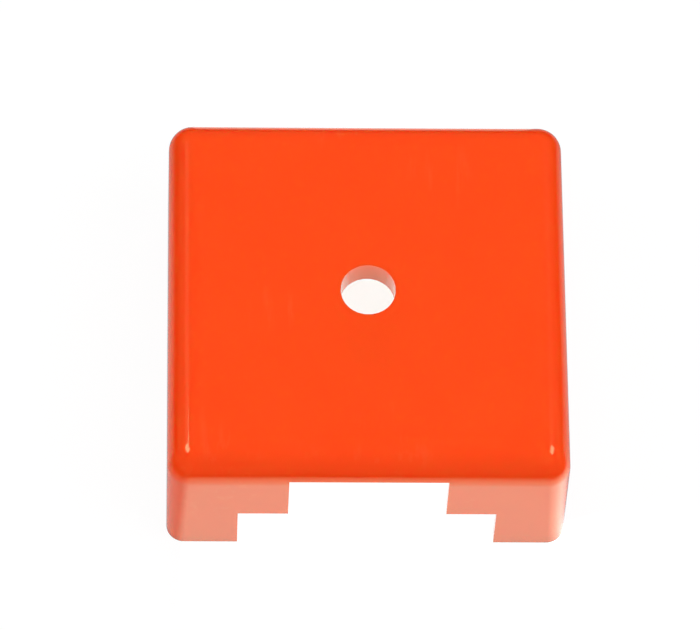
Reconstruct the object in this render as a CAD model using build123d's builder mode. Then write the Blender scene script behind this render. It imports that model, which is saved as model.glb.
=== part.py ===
"""Floor-standing pheromone insect trap.

A moulded hood stands over a clear tray. A glue card slides into the tray through the low step
of the hood's doorway, and a lure cage swivels on the collar under the hood's roof.

Units are millimetres. +Z is up, and the origin is the middle of the base, on the surface that
the trap stands on. The front doorway faces -Y, and one like it faces +Y.
"""

import os
from math import radians, tan

from build123d import *

os.makedirs("parts", exist_ok=True)

# Hood
hood_width = 80.0  # outside, across the open rim, the same both ways
hood_height = 33.3
draft_angle = 0.3  # degrees that each wall leans in
hood_wall = 2.2
hood_roof = 2.2
crown_edge_radius = 7.5  # rounding from the walls into the roof
hood_corner_radius = 4.6  # rounding of the upright corners, which runs on over the crown
least_radius = 0.3  # smallest rounding inside a corner

# Doorways, one in front and one behind
door_width = 31.5
door_height = 27.3
step_width = 51.5
step_height = 13.2

# Socket through the roof, with its collar
socket_radius = 5.5
socket_depth = 6.0
collar_wall = 2.0
collar_bead_reach = 0.5
collar_bead_height = 0.6
collar_root_radius = 0.25

# Ribs in the hood that keep the tray from shifting
rib_thickness = 1.2
rib_reach = 2.5
rib_height = 15.0

# Tray
tray_length = 50.0
tray_floor = 1.2
tray_nose = 0.3  # thickness of the floor's sharpened ends
skirt_wall = 1.2
skirt_height = 6.0
ramp_length = 3.0
stop_width = 0.8
stop_height = 0.9  # above the tray's floor
rail_wall = 1.2
lip_thickness = 0.8
lip_reach = 1.8

# Glue card
card_width = 50.0
card_length = 44.0
card_thickness = 0.5
card_corner_radius = 1.5
tab_width = 18.0
tab_length = 2.4
film_thickness = 0.5
film_margin = 3.0  # bare edge of the card, which the rails hold
film_corner_radius = 3.0
film_edge_radius = 0.3

# Lure, a rubber sleeve stopper
lure_length = 19.0
lure_flange_radius = 5.5
lure_flange_length = 8.0
lure_plug_radius = 3.6
lure_cup_radius = 3.4
lure_cup_depth = 6.5
lure_well_radius = 1.7
lure_well_depth = 8.0

# Lure cage, with the clip and arm that carry it
clip_wall = 2.0
clip_mouth = 9.0  # narrower than the collar, so that the clip snaps on
arm_width = 8.0
cage_offset = 17.5  # from the collar's axis to the cage's axis
cage_wall = 1.2
cage_seat = 0.6  # how far the cage's tube is let into the arm
vent_width = 2.6
vent_margin = 3.4  # solid tube left at each end of a vent
vent_angles = (30, 150, 210, 270, 330)  # degrees round the tube, from +Y towards +Z, clear of the arm
end_vent_radius = 1.0
end_vent_circle = 3.4
end_vent_count = 5

# Gate of the cage, with its hinge
gate_thickness = 1.4
gate_edge_radius = 0.4
knuckle_radius = 1.6
knuckle_height = 5.0
lug_height = 1.6
lug_length = 3.0
trunnion_radius = 0.8
nail_tab_width = 5.0
nail_tab_reach = 1.8

# Clearances
seat_clearance = 0.3  # between pieces that lie in or over each other
slide_clearance = 0.1  # under the sliding card
card_side_clearance = 0.4
clip_clearance = 0.08
trunnion_clearance = 0.05
lure_side_clearance = 0.7
lure_end_clearance = 0.6
gate_gap = 0.2

# Hood, worked out
lean = tan(radians(draft_angle))
roof_underside = hood_height - hood_roof
cavity_width = hood_width - 2 * hood_wall
cavity_edge_radius = max(crown_edge_radius - hood_wall, least_radius)
cavity_corner_radius = max(hood_corner_radius - hood_wall, least_radius)
collar_radius = socket_radius + collar_wall
collar_foot = hood_height - socket_depth
rib_root = cavity_width / 2 + hood_wall / 2
rib_face = cavity_width / 2 - rib_reach

# Tray and card, worked out
tray_width = cavity_width - 2 * (seat_clearance + skirt_height * lean)
tray_end = tray_length / 2
stop_front = tray_end - ramp_length - stop_width / 2
card_bottom = tray_floor + slide_clearance
card_top = card_bottom + card_thickness
card_middle = stop_front - seat_clearance - card_length / 2
rail_face = card_width / 2 + card_side_clearance
rail_back = stop_front + stop_width / 2
lip_bottom = card_top + seat_clearance
lip_top = lip_bottom + lip_thickness

# Lure cage and gate, worked out
clip_bottom = collar_foot + collar_bead_height + seat_clearance
clip_top = roof_underside - seat_clearance
clip_inner_radius = collar_radius + clip_clearance
clip_outer_radius = clip_inner_radius + clip_wall
cage_inner_radius = lure_flange_radius + lure_side_clearance
cage_outer_radius = cage_inner_radius + cage_wall
cage_length = cage_wall + lure_length + 2 * lure_end_clearance
cage_y = -cage_offset
cage_z = clip_bottom + cage_seat - cage_outer_radius
cage_closed_x = -cage_length / 2
cage_open_x = cage_length / 2
gate_x = cage_open_x + gate_gap
hinge_x = gate_x + gate_thickness / 2
hinge_y = cage_y - cage_outer_radius - knuckle_radius
trunnion_length = knuckle_height + 2 * (gate_gap + lug_height)
lug_gap = knuckle_height + 2 * gate_gap


def level_edges(piece, height):
    """The edges of a piece that lie level at one height."""
    return piece.edges().filter_by_position(Axis.Z, height - 0.01, height + 0.01)


def crowned_block(width, height, edge_radius, corner_radius):
    """A square block with draft, rounded round its top and then down its four corners."""
    with BuildPart() as block:
        with BuildSketch(Plane.XY):
            Rectangle(width, width)
        extrude(amount=height, taper=draft_angle)
        fillet(level_edges(block, height), edge_radius)
        fillet(block.edges().filter_by(lies_on_diagonal), corner_radius)
    return block.part


def lies_on_diagonal(edge):
    """Whether an edge runs up one of the block's corners."""
    middle = edge.center()
    return abs(abs(middle.X) - abs(middle.Y)) < 0.01 and abs(middle.X) > 0.01


# Cover: the hood, a drafted box with a rounded crown, open below
with BuildPart() as cover:
    add(crowned_block(hood_width, hood_height, crown_edge_radius, hood_corner_radius))

    # The hollow inside
    add(
        crowned_block(cavity_width, roof_underside, cavity_edge_radius, cavity_corner_radius),
        mode=Mode.SUBTRACT,
    )

    # The stepped doorways
    with BuildSketch(Plane.XZ):
        with Locations((0, step_height / 2)):
            Rectangle(step_width, step_height)
        with Locations((0, door_height / 2)):
            Rectangle(door_width, door_height)
    extrude(amount=hood_width, both=True, mode=Mode.SUBTRACT)

    # The collar, with a bead that keeps the cage's clip on it, and the socket
    with BuildSketch(Plane.XY.offset(collar_foot)):
        Circle(collar_radius)
    extrude(amount=roof_underside - collar_foot)
    collar_root = level_edges(cover, roof_underside).filter_by(GeomType.CIRCLE).sort_by(SortBy.RADIUS)[-1]
    fillet(collar_root, collar_root_radius)
    with BuildSketch(Plane.XY.offset(collar_foot)):
        Circle(collar_radius + collar_bead_reach)
    extrude(amount=collar_bead_height)
    with Locations((0, 0, hood_height)):
        Hole(socket_radius)

    # Two ribs on each side wall, one past each end of the tray
    for side in (-1, 1):
        for end in (-1, 1):
            with BuildSketch(Plane.XZ.offset(-end * (tray_end + seat_clearance))):
                with BuildLine():
                    Polyline(
                        (side * rib_root, 0),
                        (side * rib_face, 0),
                        (side * rib_face, rib_height - rib_reach),
                        (side * rib_root, rib_height),
                        close=True,
                    )
                make_face()
            extrude(amount=-end * rib_thickness)

cover.part.label = "cover"
export_step(cover.part, "parts/cover.step")


# Base tray: a clear floor with sharpened ends, a back stop, side skirts and rails for the card
with BuildPart() as base_tray:
    with BuildSketch(Plane.YZ):
        with BuildLine():
            Polyline(
                (-tray_end, 0),
                (tray_end, 0),
                (tray_end, tray_nose),
                (stop_front + stop_width, tray_floor + stop_height),
                (stop_front, tray_floor + stop_height),
                (stop_front, tray_floor),
                (ramp_length - tray_end, tray_floor),
                (-tray_end, tray_nose),
                close=True,
            )
        make_face()
    extrude(amount=tray_width / 2, both=True)

    with BuildSketch(Plane.XY):
        with GridLocations(tray_width - skirt_wall, 0, 2, 1):
            Rectangle(skirt_wall, tray_length)
    extrude(amount=skirt_height)

    for side in (-1, 1):
        with BuildSketch(Plane.XZ.offset(-rail_back)):
            with BuildLine():
                Polyline(
                    (side * rail_face, tray_floor / 2),
                    (side * (rail_face + rail_wall), tray_floor / 2),
                    (side * (rail_face + rail_wall), lip_top),
                    (side * (rail_face - lip_reach), lip_top),
                    (side * (rail_face - lip_reach), lip_bottom),
                    (side * rail_face, lip_bottom),
                    close=True,
                )
            make_face()
        extrude(amount=rail_back + tray_end - ramp_length)

base_tray.part.label = "base_tray"
export_step(base_tray.part, "parts/base_tray.step")


# Glue card: the clear sheet that carries the glue, with a short pull tab in front
with BuildPart() as glue_card:
    with BuildSketch(Plane.XY.offset(card_bottom)):
        with Locations((0, card_middle)):
            RectangleRounded(card_width, card_length, card_corner_radius)
        with Locations((0, card_middle - card_length / 2)):
            RectangleRounded(tab_width, 2 * tab_length, card_corner_radius)
    extrude(amount=card_thickness)

glue_card.part.label = "glue_card"
export_step(glue_card.part, "parts/glue_card.step")


# Glue film: the sticky layer on the card
with BuildPart() as glue_film:
    with BuildSketch(Plane.XY.offset(card_top)):
        with Locations((0, card_middle)):
            RectangleRounded(card_width - 2 * film_margin, card_length - 2 * film_margin, film_corner_radius)
    extrude(amount=film_thickness)
    fillet(level_edges(glue_film, card_top + film_thickness), film_edge_radius)

glue_film.part.label = "glue_film"
export_step(glue_film.part, "parts/glue_film.step")


# Lure cage: a clip round the collar, an arm, and a vented tube that is open at its +X end
with BuildPart() as lure_cage:
    with BuildSketch(Plane.XY.offset(clip_bottom)):
        Circle(clip_outer_radius)
        with Locations((0, cage_y / 2)):
            Rectangle(arm_width, cage_offset)
        Circle(clip_inner_radius, mode=Mode.SUBTRACT)
        with Locations((0, clip_outer_radius)):
            Rectangle(clip_mouth, 2 * clip_outer_radius - clip_wall, mode=Mode.SUBTRACT)
    extrude(amount=clip_top - clip_bottom)

    with BuildSketch(Plane.YZ.offset(cage_closed_x)):
        with Locations((cage_y, cage_z)):
            Circle(cage_outer_radius)
    extrude(amount=cage_length)

    # Hinge lugs above and below the gate's knuckle
    for lug_bottom in (cage_z - lug_gap / 2 - lug_height, cage_z + lug_gap / 2):
        with BuildSketch(Plane.XY.offset(lug_bottom)):
            with BuildLine():
                Polyline(
                    (cage_open_x, cage_y),
                    (cage_open_x, hinge_y + knuckle_radius),
                    (hinge_x, hinge_y + knuckle_radius),
                    (hinge_x, hinge_y - knuckle_radius),
                    (hinge_x - knuckle_radius, hinge_y - knuckle_radius),
                    (cage_open_x - lug_length, cage_y),
                    close=True,
                )
            make_face()
            with Locations((hinge_x, hinge_y)):
                Circle(knuckle_radius)
                Circle(trunnion_radius + trunnion_clearance, mode=Mode.SUBTRACT)
        extrude(amount=lug_height)

    with BuildSketch(Plane.YZ.offset(cage_closed_x + cage_wall)):
        with Locations((cage_y, cage_z)):
            Circle(cage_inner_radius)
    extrude(amount=cage_length, mode=Mode.SUBTRACT)

    # Vents round the tube and through its closed end
    vent_middle = Vector((cage_closed_x + cage_wall + cage_open_x) / 2, cage_y, cage_z)
    for angle in vent_angles:
        outward = Vector(0, 1, 0).rotate(Axis.X, angle)
        with BuildSketch(Plane(origin=vent_middle, x_dir=(1, 0, 0), z_dir=outward)):
            SlotOverall(cage_length - cage_wall - 2 * vent_margin, vent_width)
        extrude(amount=cage_outer_radius, mode=Mode.SUBTRACT)
    with BuildSketch(Plane.YZ.offset(cage_closed_x)):
        with Locations((cage_y, cage_z)):
            with PolarLocations(end_vent_circle, end_vent_count):
                Circle(end_vent_radius)
    extrude(amount=cage_wall, mode=Mode.SUBTRACT)

lure_cage.part.label = "lure_cage"
export_step(lure_cage.part, "parts/lure_cage.step")


# Cage gate: the vented lid that closes the cage's open end, with its knuckle and trunnions
with BuildPart() as cage_gate:
    with BuildSketch(Plane.YZ.offset(gate_x)):
        with Locations((cage_y, cage_z)):
            Circle(cage_outer_radius)
            with PolarLocations(end_vent_circle, end_vent_count):
                Circle(end_vent_radius, mode=Mode.SUBTRACT)
        with Locations((cage_y + cage_outer_radius, cage_z)):
            Rectangle(2 * nail_tab_reach, nail_tab_width)
        with Locations((hinge_y + knuckle_radius, cage_z)):
            Rectangle(2 * knuckle_radius, knuckle_height)
    extrude(amount=gate_thickness)
    for length, radius in ((knuckle_height, knuckle_radius), (trunnion_length, trunnion_radius)):
        with BuildSketch(Plane.XY.offset(cage_z - length / 2)):
            with Locations((hinge_x, hinge_y)):
                Circle(radius)
        extrude(amount=length)

cage_gate.part.label = "cage_gate"
export_step(cage_gate.part, "parts/cage_gate.step")


# Lure septum: the rubber sleeve stopper that holds the pheromone, lying along the cage
lure_x = cage_closed_x + cage_wall + lure_end_clearance
lure_z = cage_z - lure_side_clearance + seat_clearance
lure_plug_length = lure_length - lure_flange_length
with BuildPart() as lure_septum:
    with BuildSketch(Plane(origin=(lure_x, cage_y, lure_z), x_dir=(1, 0, 0), z_dir=(0, -1, 0))):
        with BuildLine():
            Polyline(
                (lure_well_depth, 0),
                (lure_well_depth, lure_well_radius),
                (0, lure_well_radius),
                (0, lure_plug_radius),
                (lure_plug_length, lure_plug_radius),
                (lure_plug_length, lure_flange_radius),
                (lure_length, lure_flange_radius),
                (lure_length, lure_cup_radius),
                (lure_length - lure_cup_depth, lure_cup_radius),
                (lure_length - lure_cup_depth, 0),
                close=True,
            )
        make_face()
    revolve(axis=Axis((lure_x, cage_y, lure_z), (1, 0, 0)))

lure_septum.part.label = "lure_septum"
export_step(lure_septum.part, "parts/lure_septum.step")
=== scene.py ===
"""Looks of the pheromone insect trap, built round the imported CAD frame. Lengths are in metres."""

import math

import bmesh
import bpy
from mathutils import Matrix, Quaternion, Vector


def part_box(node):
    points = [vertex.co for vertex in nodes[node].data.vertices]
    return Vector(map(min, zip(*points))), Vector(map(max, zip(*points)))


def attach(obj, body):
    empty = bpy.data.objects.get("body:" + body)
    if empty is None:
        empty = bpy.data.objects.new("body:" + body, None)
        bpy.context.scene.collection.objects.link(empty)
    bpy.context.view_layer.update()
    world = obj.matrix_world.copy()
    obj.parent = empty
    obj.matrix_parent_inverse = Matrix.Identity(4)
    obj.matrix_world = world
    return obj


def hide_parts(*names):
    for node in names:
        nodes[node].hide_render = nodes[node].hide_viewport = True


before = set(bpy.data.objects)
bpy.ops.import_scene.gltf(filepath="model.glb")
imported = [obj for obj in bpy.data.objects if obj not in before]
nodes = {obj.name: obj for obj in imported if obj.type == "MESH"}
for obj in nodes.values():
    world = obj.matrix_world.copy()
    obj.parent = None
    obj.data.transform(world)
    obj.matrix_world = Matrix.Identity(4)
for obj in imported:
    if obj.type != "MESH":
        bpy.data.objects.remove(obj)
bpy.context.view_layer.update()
MM = 0.001

# The hood's box and the features that the CAD gives it
hood_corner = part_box("cover")[1]
HALF_WIDTH = hood_corner.x
HEIGHT = hood_corner.z
LEAN = math.tan(math.radians(0.3))
WALL = 2.2 * MM
CROWN_RADIUS = 7.5 * MM
CROWN_FOOT = HEIGHT - CROWN_RADIUS
INNER_CROWN_RADIUS = CROWN_RADIUS - WALL
CROWN_CORNER = 4.6 * MM
RIM_CORNER = 3.6 * MM
DOOR_HALF, DOOR_TOP = 15.75 * MM, 27.3 * MM
STEP_HALF, STEP_TOP = 25.75 * MM, 13.2 * MM
SOCKET_RADIUS = 5.5 * MM
COLLAR_FOOT = HEIGHT - 6.0 * MM
COLLAR_RADIUS = 7.5 * MM
BEAD_RADIUS = 8.0 * MM
BEAD_TOP = COLLAR_FOOT + 0.6 * MM
RIB_FACE, RIB_ROOT = 35.3 * MM, 38.9 * MM
RIB_NEAR, RIB_FAR = 25.3 * MM, 26.5 * MM
RIB_FOOT, RIB_SHOULDER, RIB_TOP = 0.15 * MM, 12.5 * MM, 15.0 * MM
SHARP_EDGE_RADIUS = 0.28 * MM
SHARP_ANGLE = math.radians(30)
MERGE_DISTANCE = 1e-7


def direction(azimuth, elevation):
    """A unit vector away from the object, for angles in degrees. Azimuth 0 is in front, 90 to the right."""
    a, e = math.radians(azimuth), math.radians(elevation)
    return Vector((math.sin(a) * math.cos(e), -math.cos(a) * math.cos(e), math.sin(e)))


# ---------------------------------------------------------------- camera

CAMERA_AZIMUTH, CAMERA_ELEVATION, CAMERA_ROLL = -3.84, 62.95, 3.69
CAMERA_DISTANCE = 1.13977
CAMERA_TARGET = Vector((-3.11 * MM, 2.79 * MM, HEIGHT / 2))


def camera_axes():
    """Right, up and backward directions of the camera."""
    back = direction(CAMERA_AZIMUTH, CAMERA_ELEVATION)
    roll = math.radians(CAMERA_ROLL)
    right = (-back).cross(Vector((0, 0, 1))).normalized()
    up = right.cross(-back)
    rolled_right = right * math.cos(roll) + up * math.sin(roll)
    return rolled_right, back.cross(rolled_right), back


def make_camera():
    right, up, back = camera_axes()
    camera = bpy.data.objects.new("camera", bpy.data.cameras.new("camera"))
    camera.data.lens = 290.14
    camera.data.sensor_width = 36.0
    camera.data.clip_start = 0.05
    turn = Matrix((right, up, back)).transposed().to_4x4()
    camera.matrix_world = Matrix.Translation(CAMERA_TARGET + back * CAMERA_DISTANCE) @ turn
    bpy.context.scene.collection.objects.link(camera)
    bpy.context.scene.camera = camera


make_camera()


# ---------------------------------------------------------------- materials

def new_material(name):
    material = bpy.data.materials.new(name)
    material.use_nodes = True
    tree = material.node_tree
    return material, tree, tree.nodes["Principled BSDF"]


def add_node(tree, kind, **inputs):
    """Adds a shader node and sets its inputs, named with underscores for spaces."""
    node = tree.nodes.new(kind)
    for name, value in inputs.items():
        node.inputs[name.replace("_", " ")].default_value = value
    return node


def object_noise(tree, scale, detail=2.0, roughness=0.5, stretch=(1.0, 1.0, 1.0)):
    """Noise in the object's own coordinates, which are metres. It is long where stretch is small."""
    coordinates = tree.nodes.new("ShaderNodeTexCoord")
    noise = add_node(tree, "ShaderNodeTexNoise", Scale=scale, Detail=detail, Roughness=roughness)
    stretched = tree.nodes.new("ShaderNodeVectorMath")
    stretched.operation = "MULTIPLY"
    stretched.inputs[1].default_value = stretch
    tree.links.new(coordinates.outputs["Object"], stretched.inputs[0])
    tree.links.new(stretched.outputs["Vector"], noise.inputs["Vector"])
    return noise.outputs["Fac"]


def map_range(tree, value, low, high, start=0.0, end=1.0):
    node = add_node(tree, "ShaderNodeMapRange", From_Min=start, From_Max=end, To_Min=low, To_Max=high)
    tree.links.new(value, node.inputs["Value"])
    return node.outputs["Result"]


def math_node(tree, operation, first, second):
    """A Math node's result. Each operand is a socket or a number."""
    node = tree.nodes.new("ShaderNodeMath")
    node.operation = operation
    for socket, value in zip(node.inputs, (first, second)):
        if isinstance(value, (int, float)):
            socket.default_value = value
        else:
            tree.links.new(value, socket)
    return node.outputs[0]


def add_bump(tree, shader, height, distance):
    bump = add_node(tree, "ShaderNodeBump", Distance=distance, Strength=1.0)
    tree.links.new(height, bump.inputs["Height"])
    tree.links.new(bump.outputs["Normal"], shader.inputs["Normal"])


def mix_colours(tree, factor, first, second):
    """A colour between two, each a socket or a tuple of three numbers."""
    mix = tree.nodes.new("ShaderNodeMix")
    mix.data_type = "RGBA"
    tree.links.new(factor, mix.inputs["Factor"])
    for socket, colour in ((mix.inputs["A"], first), (mix.inputs["B"], second)):
        if isinstance(colour, tuple):
            socket.default_value = (*colour, 1)
        else:
            tree.links.new(colour, socket)
    return mix.outputs["Result"]


def hood_plastic():
    """Glossy orange moulded plastic, faintly mottled and scuffed, that lets some light through."""
    material, tree, shader = new_material("hood_plastic")
    mottle = map_range(tree, object_noise(tree, 70.0, 4.0), 0.0, 1.0, 0.3, 0.7)
    patches = map_range(tree, object_noise(tree, 45.0, 2.0), 0.0, 1.0, 0.54, 0.66)
    streaks = map_range(tree, object_noise(tree, 420.0, 4.0, stretch=(1.0, 0.12, 1.0)), 0.0, 1.0, 0.55, 0.7)
    scuffs = math_node(tree, "MULTIPLY", patches, streaks)
    pigment = mix_colours(tree, mottle, (0.95, 0.067, 0.006), (0.95, 0.071, 0.0065))
    pale = math_node(tree, "MULTIPLY", scuffs, 0.4)
    tree.links.new(mix_colours(tree, pale, pigment, (0.97, 0.12, 0.03)), shader.inputs["Base Color"])
    shader.inputs["IOR"].default_value = 2.15
    shader.inputs["Specular Tint"].default_value = (1.0, 0.98, 0.48, 1)
    shader.inputs["Coat Weight"].default_value = 0.3
    shader.inputs["Coat Roughness"].default_value = 0.04
    shader.inputs["Subsurface Weight"].default_value = 1.0
    shader.inputs["Subsurface Radius"].default_value = (1.0, 0.2, 0.08)
    shader.inputs["Subsurface Scale"].default_value = 0.004
    sheen = map_range(tree, mottle, 0.06, 0.11)
    dulled = math_node(tree, "MULTIPLY", scuffs, 0.12)
    tree.links.new(math_node(tree, "ADD", sheen, dulled), shader.inputs["Roughness"])
    add_bump(tree, shader, object_noise(tree, 350.0, 1.0), 0.000012)
    return material


def clear_plastic(name, colour, index, roughness, scuff_scale, clarity=1.0):
    """Clear sheet or moulding with fine scuffs. What its clarity lacks is a milky haze."""
    material, tree, shader = new_material(name)
    shader.inputs["Base Color"].default_value = (*colour, 1)
    shader.inputs["IOR"].default_value = index
    shader.inputs["Transmission Weight"].default_value = clarity
    rough = map_range(tree, object_noise(tree, scuff_scale, 6.0, 0.7), roughness, roughness * 4, 0.55, 0.75)
    tree.links.new(rough, shader.inputs["Roughness"])
    add_bump(tree, shader, object_noise(tree, 60.0, 2.0), 0.00003)
    return material


def cage_plastic():
    """Natural white polypropylene: waxy, a little translucent, with a fine moulded grain."""
    material, tree, shader = new_material("cage_plastic")
    mottle = object_noise(tree, 180.0, 3.0)
    colour = mix_colours(tree, mottle, (0.77, 0.77, 0.73), (0.83, 0.83, 0.80))
    tree.links.new(colour, shader.inputs["Base Color"])
    shader.inputs["Subsurface Weight"].default_value = 0.4
    shader.inputs["Subsurface Radius"].default_value = (1.0, 0.9, 0.8)
    shader.inputs["Subsurface Scale"].default_value = 0.0015
    tree.links.new(map_range(tree, mottle, 0.34, 0.5, 0.3, 0.7), shader.inputs["Roughness"])
    add_bump(tree, shader, object_noise(tree, 2500.0, 2.0), 0.00002)
    return material


def lure_rubber():
    """Dull red rubber with a dusty bloom and a slightly pitted skin."""
    material, tree, shader = new_material("lure_rubber")
    bloom = map_range(tree, object_noise(tree, 220.0, 5.0, 0.65), 0.0, 1.0, 0.42, 0.72)
    colour = mix_colours(tree, bloom, (0.32, 0.038, 0.026), (0.42, 0.085, 0.06))
    tree.links.new(colour, shader.inputs["Base Color"])
    tree.links.new(map_range(tree, bloom, 0.55, 0.8), shader.inputs["Roughness"])
    shader.inputs["Sheen Weight"].default_value = 0.15
    add_bump(tree, shader, object_noise(tree, 1400.0, 4.0), 0.00006)
    return material


# ---------------------------------------------------------------- meshes

def finish_piece(piece, material, body, replaced=()):
    """Gives a piece its material and its body, and hides the CAD nodes that it stands for."""
    piece.data.materials.clear()
    piece.data.materials.append(material)
    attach(piece, body)
    if replaced:
        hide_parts(*replaced)


def apply_modifiers(piece):
    """Replaces the piece's mesh by what its modifiers make of it."""
    depsgraph = bpy.context.evaluated_depsgraph_get()
    mesh = bpy.data.meshes.new_from_object(piece.evaluated_get(depsgraph), depsgraph=depsgraph)
    piece.modifiers.clear()
    piece.data = mesh


def soften_edges(piece, radius, segments, flat_faced=False):
    """Rounds the sharp edges. A flat-faced piece has no other curves, so its faces are shaded flat."""
    bevel = piece.modifiers.new("bevel", "BEVEL")
    bevel.width = radius
    bevel.segments = segments
    bevel.limit_method = "ANGLE"
    bevel.angle_limit = SHARP_ANGLE
    bevel.use_clamp_overlap = True
    if flat_faced:
        piece.data.shade_flat()
        return
    piece.data.shade_smooth()
    weighted = piece.modifiers.new("weighted", "WEIGHTED_NORMAL")
    weighted.mode = "FACE_AREA"
    weighted.weight = 50
    weighted.keep_sharp = True


def mesh_piece(name, bm):
    bmesh.ops.recalc_face_normals(bm, faces=bm.faces)
    mesh = bpy.data.meshes.new(name)
    bm.to_mesh(mesh)
    bm.free()
    piece = bpy.data.objects.new(name, mesh)
    bpy.context.scene.collection.objects.link(piece)
    return piece


# ---------------------------------------------------------------- hood

CORNER_STEPS = 12
CROWN_STEPS = 20
DOOR_CROWN_STEPS = 3
STATIONS = [-STEP_HALF, -DOOR_HALF, -DOOR_HALF / 3, DOOR_HALF / 3, DOOR_HALF, STEP_HALF]
SIDE_COLUMNS = 1 + len(STATIONS) + CORNER_STEPS


def four_sides(straight, stations_at, corner_points):
    """A ring's points, counter-clockwise from the front left: each side's stations, then its corner."""
    side = [stations_at(x) for x in [-straight, *STATIONS]] + corner_points
    turns = [Matrix.Rotation(quarter * math.pi / 2, 3, "Z") for quarter in range(4)]
    return [turn @ point for turn in turns for point in side]


def square_ring(half, corner, height):
    """A level rounded square."""
    straight = half - corner
    angles = [math.radians(90 * step / CORNER_STEPS - 90) for step in range(CORNER_STEPS)]
    centre = Vector((straight, -straight, height))
    rounding = [centre + Vector((corner * math.cos(a), corner * math.sin(a), 0)) for a in angles]
    return four_sides(straight, lambda x: Vector((x, -half, height)), rounding)


def crown_ring(half, radius, corner, angle):
    """A ring on the crown, at an angle from level. Its corners are a ball rolled up the mitre."""
    across, rise = math.sin(angle), math.cos(angle)
    middle = half - radius + (radius - corner) * across
    centre = Vector((middle, -middle, CROWN_FOOT + (radius - corner) * rise))
    front, right = Vector((0, -across, rise)), Vector((across, 0, rise))
    rounding = [centre + corner * front.slerp(right, step / CORNER_STEPS) for step in range(CORNER_STEPS)]
    front_y = radius - half - radius * across
    return four_sides(middle, lambda x: Vector((x, front_y, CROWN_FOOT + radius * rise)), rounding)


COLUMN_ANGLES = [math.atan2(p.y, p.x) for p in square_ring(HALF_WIDTH, RIM_CORNER, 0)]


def round_ring(radius, height):
    """Points of a circle, one on each of the square rings' columns."""
    return [Vector((radius * math.cos(a), radius * math.sin(a), height)) for a in COLUMN_ANGLES]


def shell_rings(half, radius, corner, rim_corner):
    """Rings of the hood's outside or inside: down the crown to the doorways' top, then down to the rim."""
    foot_half = half - CROWN_FOOT * LEAN
    door_angle = math.acos((DOOR_TOP - CROWN_FOOT) / radius)
    rest_angle = math.pi / 2 - door_angle
    angles = [door_angle * step / CROWN_STEPS for step in range(CROWN_STEPS)]
    lower_angles = [door_angle + rest_angle * step / DOOR_CROWN_STEPS for step in range(DOOR_CROWN_STEPS + 1)]
    crown = [crown_ring(foot_half, radius, corner, angle) for angle in angles]
    wall = [crown_ring(foot_half, radius, corner, angle) for angle in lower_angles]
    for height in (STEP_TOP, 0):
        share = height / CROWN_FOOT
        wall.append(square_ring(half - height * LEAN, rim_corner + (corner - rim_corner) * share, height))
    return crown, wall


def make_ribs():
    """The four ribs that keep the tray in its place, as one mesh of closed prisms."""
    bm = bmesh.new()
    profile = [
        (RIB_ROOT, RIB_FOOT),
        (RIB_FACE, RIB_FOOT),
        (RIB_FACE, RIB_SHOULDER),
        (RIB_ROOT, RIB_TOP + RIB_ROOT - HALF_WIDTH + WALL),
    ]
    for side in (-1, 1):
        for end in (-1, 1):
            corners = [(side * x, z) for x, z in profile]
            near, far = ([bm.verts.new((x, end * y, z)) for x, z in corners] for y in (RIB_NEAR, RIB_FAR))
            bm.faces.new(near)
            bm.faces.new(far)
            for i in range(len(profile)):
                bm.faces.new((near[i - 1], near[i], far[i], far[i - 1]))
    return mesh_piece("ribs", bm)


def make_hood():
    outer_crown, outer_wall = shell_rings(HALF_WIDTH, CROWN_RADIUS, CROWN_CORNER, RIM_CORNER)
    inner_crown, inner_wall = shell_rings(
        HALF_WIDTH - WALL, INNER_CROWN_RADIUS, CROWN_CORNER - WALL, RIM_CORNER - WALL
    )
    roof = HEIGHT - WALL
    rings = [round_ring(SOCKET_RADIUS, COLLAR_FOOT), round_ring(SOCKET_RADIUS, HEIGHT), *outer_crown]
    outer_start = len(rings)
    rings += outer_wall
    inner_start = len(rings)
    rings += [*reversed(inner_wall), *reversed(inner_crown)]
    rings += [round_ring(COLLAR_RADIUS, roof), round_ring(COLLAR_RADIUS, BEAD_TOP)]
    rings += [round_ring(BEAD_RADIUS, BEAD_TOP), round_ring(BEAD_RADIUS, COLLAR_FOOT)]

    bm = bmesh.new()
    grid = [[bm.verts.new(p) for p in ring] for ring in rings]
    columns = len(rings[0])
    rim = len(outer_wall) - 1
    step_level = rim - 1

    def open_from(column):
        """The wall level at which the doorway starts in the strip between a column and the next."""
        side, place = divmod(column % columns, SIDE_COLUMNS)
        if side % 2 or not 1 <= place < len(STATIONS):
            return rim
        return 0 if 2 <= place < len(STATIONS) - 1 else step_level

    def wall_level(ring):
        """The level of the strip below a ring on the outer wall, or above it on the inner one."""
        if outer_start <= ring < inner_start:
            return ring - outer_start
        if inner_start <= ring < inner_start + rim:
            return inner_start + rim - ring - 1
        return -1

    for i in range(columns):
        k = (i + 1) % columns
        top = open_from(i)
        for j in range(len(rings)):
            if wall_level(j) >= top and top < rim:
                continue
            after = (j + 1) % len(rings)
            bm.faces.new((grid[j][i], grid[j][k], grid[after][k], grid[after][i]))
        outer, inner = (grid[outer_start + top], grid[inner_start + rim - top])
        if top < rim:
            bm.faces.new((outer[i], outer[k], inner[k], inner[i]))
        low, high = sorted((top, open_from(i - 1)))
        for level in range(low, high):
            outer, inner = outer_start + level, inner_start + rim - level
            bm.faces.new((grid[outer][i], grid[outer + 1][i], grid[inner - 1][i], grid[inner][i]))
    bmesh.ops.remove_doubles(bm, verts=bm.verts, dist=MERGE_DISTANCE)
    hood = mesh_piece("hood", bm)
    ribs = make_ribs()
    union = hood.modifiers.new("ribs", "BOOLEAN")
    union.operation = "UNION"
    union.solver = "EXACT"
    union.object = ribs
    soften_edges(hood, SHARP_EDGE_RADIUS, 3)
    apply_modifiers(hood)
    bpy.data.objects.remove(ribs)
    finish_piece(hood, hood_plastic(), "hood", ["cover"])


make_hood()


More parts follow.
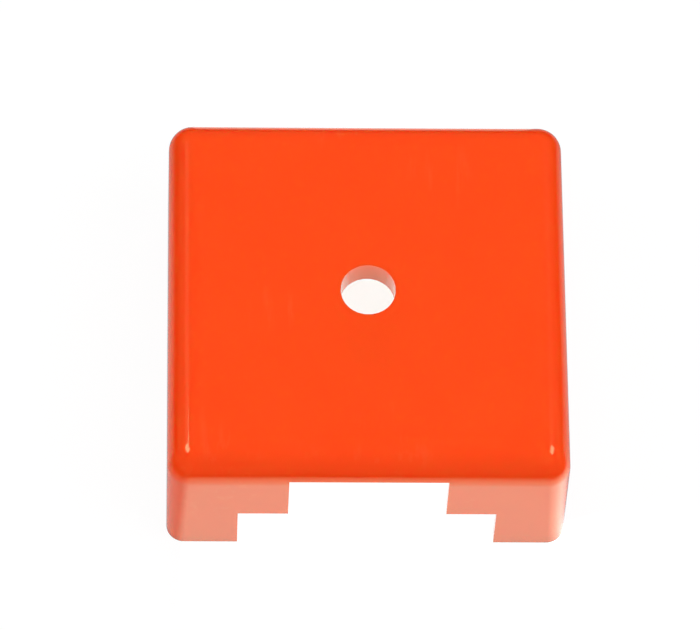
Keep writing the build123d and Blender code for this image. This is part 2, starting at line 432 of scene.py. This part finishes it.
# ---------------------------------------------------------------- tray, card, cage and lure

def softened_copy(node, radius, flat_faced):
    """A new piece with a CAD node's form, whose sharp edges are rounded as a mould rounds them."""
    bm = bmesh.new()
    bm.from_mesh(nodes[node].data)
    bmesh.ops.remove_doubles(bm, verts=bm.verts, dist=MERGE_DISTANCE)
    bmesh.ops.dissolve_limit(bm, angle_limit=math.radians(0.2), verts=bm.verts, edges=bm.edges)
    # The CAD mesh's own normals no longer fit once its edges are rounded
    for name in list(bm.loops.layers.float_vector.keys()):
        bm.loops.layers.float_vector.remove(bm.loops.layers.float_vector[name])
    piece = mesh_piece(node + "_moulded", bm)
    soften_edges(piece, radius, 2, flat_faced)
    apply_modifiers(piece)
    return piece


clear = clear_plastic("clear_plastic", (0.98, 0.985, 0.985), 1.3, 0.03, 300.0, clarity=0.97)
sheet = clear_plastic("card_plastic", (0.985, 0.99, 0.99), 1.25, 0.02, 500.0)
white = cage_plastic()
rubber = lure_rubber()
for node, radius, material, body, slot in (
    ("base_tray", 0.08 * MM, clear, "tray", "clear_plastic"),
    ("glue_card", 0.05 * MM, sheet, "card", "card_plastic"),
    ("lure_cage", 0.15 * MM, white, "cage", "cage_plastic"),
    ("cage_gate", 0.15 * MM, white, "gate", "cage_plastic"),
    ("lure_septum", 0.25 * MM, rubber, "cage", "lure_rubber"),
):
    finish_piece(softened_copy(node, radius, body in ("tray", "card")), material, body, [node])


def steps_to_edge(count, edge_steps, edge):
    """Values from -1 to 1, evenly spaced but for a few close ones by each end."""
    inner = [-1 + edge + (2 - 2 * edge) * i / count for i in range(count + 1)]
    rim = [edge * (1 - math.cos(math.pi / 2 * i / edge_steps)) for i in range(edge_steps)]
    return [-1 + r for r in rim] + inner + [1 - r for r in reversed(rim)]


def make_glue():
    """The glue: a clear layer with the ridges that its spreader left, rounded off at its edges."""
    low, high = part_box("glue_film")
    middle, half = (low + high) / 2, (high - low) / 2
    corner, roll = 3.0 * MM, 0.6 * MM
    underside, least_depth = 0.02 * MM, 0.04 * MM  # just clear of the card, so that the two don't coincide
    bm = bmesh.new()

    def point(u, v, upper):
        y = v * half.y
        into = max(abs(y) - (half.y - corner), 0)
        reach = half.x - corner + math.sqrt(corner * corner - into * into)
        x = u * reach
        edge = min(min((1 - abs(u)) * reach, (1 - abs(v)) * half.y) / roll, 1)
        sway = 0.9 * math.sin(y / (9 * MM)) + 0.5 * math.sin(y / (3.1 * MM) + x / (7 * MM))
        ridge = math.sin(x / (1.1 * MM) + sway)
        swell = math.sin(x / (6.3 * MM) + 1.7) * math.sin(y / (5.2 * MM) + 0.4)
        depth = 2 * half.z * (0.86 + 0.06 * ridge + 0.05 * swell) * math.sqrt(1 - (1 - edge) ** 2)
        return Vector((middle.x + x, middle.y + y, low.z + (max(depth, least_depth) if upper else underside)))

    across, along = steps_to_edge(96, 5, 0.03), steps_to_edge(48, 5, 0.035)
    top = [[bm.verts.new(point(u, v, True)) for u in across] for v in along]
    bottom = [[bm.verts.new(point(u, v, False)) for u in across] for v in along]
    for j in range(len(along) - 1):
        for i in range(len(across) - 1):
            bm.faces.new((top[j][i], top[j][i + 1], top[j + 1][i + 1], top[j + 1][i]))
            bm.faces.new((bottom[j][i], bottom[j + 1][i], bottom[j + 1][i + 1], bottom[j][i + 1]))

    def border(rows):
        return rows[0] + [row[-1] for row in rows[1:]] + rows[-1][-2::-1] + [row[0] for row in rows[-2:0:-1]]

    upper, lower = border(top), border(bottom)
    for i in range(len(upper)):
        bm.faces.new((upper[i - 1], lower[i - 1], lower[i], upper[i]))
    glue = mesh_piece("glue", bm)
    glue.data.shade_smooth()
    sticky = clear_plastic("glue", (0.995, 0.988, 0.955), 1.3, 0.015, 120.0)
    finish_piece(glue, sticky, "card", ["glue_film"])


make_glue()


# ---------------------------------------------------------------- studio

# The floor's painted pool of light in gloss, and the dim room that it fades to far off
POOL_LEVEL, ROOM_LEVEL = 1.12, 0.03
POOL_START, POOL_END = 0.06, 0.14


def angle_round_corner(tree, position, side):
    """A floor point's angle round a front corner of the rim: 0 is ahead and 90 degrees is outwards."""
    corner = HALF_WIDTH - RIM_CORNER
    out = math_node(tree, "SUBTRACT", math_node(tree, "MULTIPLY", position["X"], side), corner)
    ahead = math_node(tree, "SUBTRACT", -corner, position["Y"])
    return math_node(tree, "ARCTAN2", out, ahead)


def painted_light_pool(tree):
    """How bright the floor is in gloss, as painted light and shade: a painted pool of light, dim far off and
    brightest off the right corner, with painted shadow along both sides.
    """
    coordinates = tree.nodes.new("ShaderNodeTexCoord")
    distance = tree.nodes.new("ShaderNodeVectorMath")
    distance.operation = "LENGTH"
    tree.links.new(coordinates.outputs["Object"], distance.inputs[0])
    split = tree.nodes.new("ShaderNodeSeparateXYZ")
    tree.links.new(coordinates.outputs["Object"], split.inputs[0])
    left, right = (angle_round_corner(tree, split.outputs, side) for side in (-1, 1))
    pool = map_range(tree, distance.outputs["Value"], POOL_LEVEL, ROOM_LEVEL, POOL_START, POOL_END)
    # Painted shadow along the left side and past the right corner, and painted light off the right corner
    painted_shadow_left = map_range(tree, left, 1.0, 0.43, 0.0, math.radians(35))
    painted_shadow_right = map_range(tree, right, 1.0, 0.25, math.radians(75), math.radians(125))
    painted_light_right = map_range(tree, right, 1.0, 1.7, math.radians(8), math.radians(60))
    for share in (painted_shadow_left, painted_shadow_right, painted_light_right):
        pool = math_node(tree, "MULTIPLY", pool, share)
    return pool


def make_floor():
    """A plain floor that keeps a soft shadow, is white to the camera, shows a painted pool of light and
    painted shadow in gloss, and is clear from below.
    """
    bpy.ops.mesh.primitive_plane_add(size=6.0, location=(0, 0, -0.05 * MM))
    floor = bpy.context.object
    floor.name = "floor"
    material, tree, shader = new_material("floor")
    shader.inputs["Base Color"].default_value = (0.88, 0.88, 0.88, 1)
    shader.inputs["Roughness"].default_value = 1.0
    shader.inputs["Specular IOR Level"].default_value = 0.0
    path = tree.nodes.new("ShaderNodeLightPath")
    seen = math_node(tree, "MAXIMUM", path.outputs["Is Camera Ray"], path.outputs["Is Transmission Ray"])
    glow = add_node(tree, "ShaderNodeEmission")
    # In gloss the floor's glow is the painted pool of light with its painted shadow
    tree.links.new(math_node(tree, "MAXIMUM", seen, painted_light_pool(tree)), glow.inputs["Strength"])
    share = math_node(tree, "MAXIMUM", math_node(tree, "MULTIPLY", seen, 0.95), path.outputs["Is Glossy Ray"])
    mix = tree.nodes.new("ShaderNodeMixShader")
    tree.links.new(share, mix.inputs["Fac"])
    tree.links.new(shader.outputs["BSDF"], mix.inputs[1])
    tree.links.new(glow.outputs["Emission"], mix.inputs[2])
    one_way = tree.nodes.new("ShaderNodeMixShader")
    tree.links.new(tree.nodes.new("ShaderNodeNewGeometry").outputs["Backfacing"], one_way.inputs["Fac"])
    tree.links.new(mix.outputs["Shader"], one_way.inputs[1])
    tree.links.new(tree.nodes.new("ShaderNodeBsdfTransparent").outputs["BSDF"], one_way.inputs[2])
    tree.links.new(one_way.outputs["Shader"], tree.nodes["Material Output"].inputs["Surface"])
    floor.data.materials.append(material)


def make_world():
    """White to the camera and through clear plastic, and a dim room to everything else."""
    world = bpy.data.worlds.new("world")
    bpy.context.scene.world = world
    world.use_nodes = True
    tree = world.node_tree
    background = tree.nodes["Background"]
    background.inputs["Color"].default_value = (1, 1, 1, 1)
    path = tree.nodes.new("ShaderNodeLightPath")
    white = math_node(tree, "MAXIMUM", path.outputs["Is Camera Ray"], path.outputs["Is Transmission Ray"])
    tree.links.new(map_range(tree, white, 0.06, 1.0), background.inputs["Strength"])


LAMP_DISTANCE = 1.2


def add_lamp(name, azimuth, elevation, width, height, watts, roll=0, glossy=False):
    """A soft box that faces the object, turned in its own plane by a roll."""
    lamp = bpy.data.objects.new(name, bpy.data.lights.new(name, "AREA"))
    lamp.data.shape = "RECTANGLE"
    lamp.data.size = width
    lamp.data.size_y = height
    lamp.data.energy = watts
    lamp.visible_glossy = glossy
    away = direction(azimuth, elevation)
    lamp.location = away * LAMP_DISTANCE
    turn = away.to_track_quat("Z", "Y") @ Quaternion((0, 0, 1), math.radians(roll))
    lamp.rotation_euler = turn.to_euler()
    bpy.context.scene.collection.objects.link(lamp)


make_floor()
make_world()

# Four soft boxes light the object. The last four, seen in gloss, make its spots and edge lines.
add_lamp("key", 68, 52, 0.8, 0.8, 10.5)
add_lamp("fill", -78, 40, 0.9, 0.9, 6.5)
add_lamp("back", 180, 52, 0.6, 0.6, 6.5)
add_lamp("front", -8, 55, 0.8, 0.6, 2.6)
add_lamp("spot_left", -98.5, 42, 0.75, 0.22, 1.15, roll=33, glossy=True)
add_lamp("spot_right", 97.5, 38, 0.72, 0.2, 0.95, roll=-33, glossy=True)
add_lamp("line_left", -120.3, 27.1, 0.34, 0.2, 0.032, roll=45.6, glossy=True)
add_lamp("line_right", 118.6, 23.4, 0.3, 0.2, 0.009, roll=-44, glossy=True)
bpy.context.scene.view_settings.view_transform = "Standard"
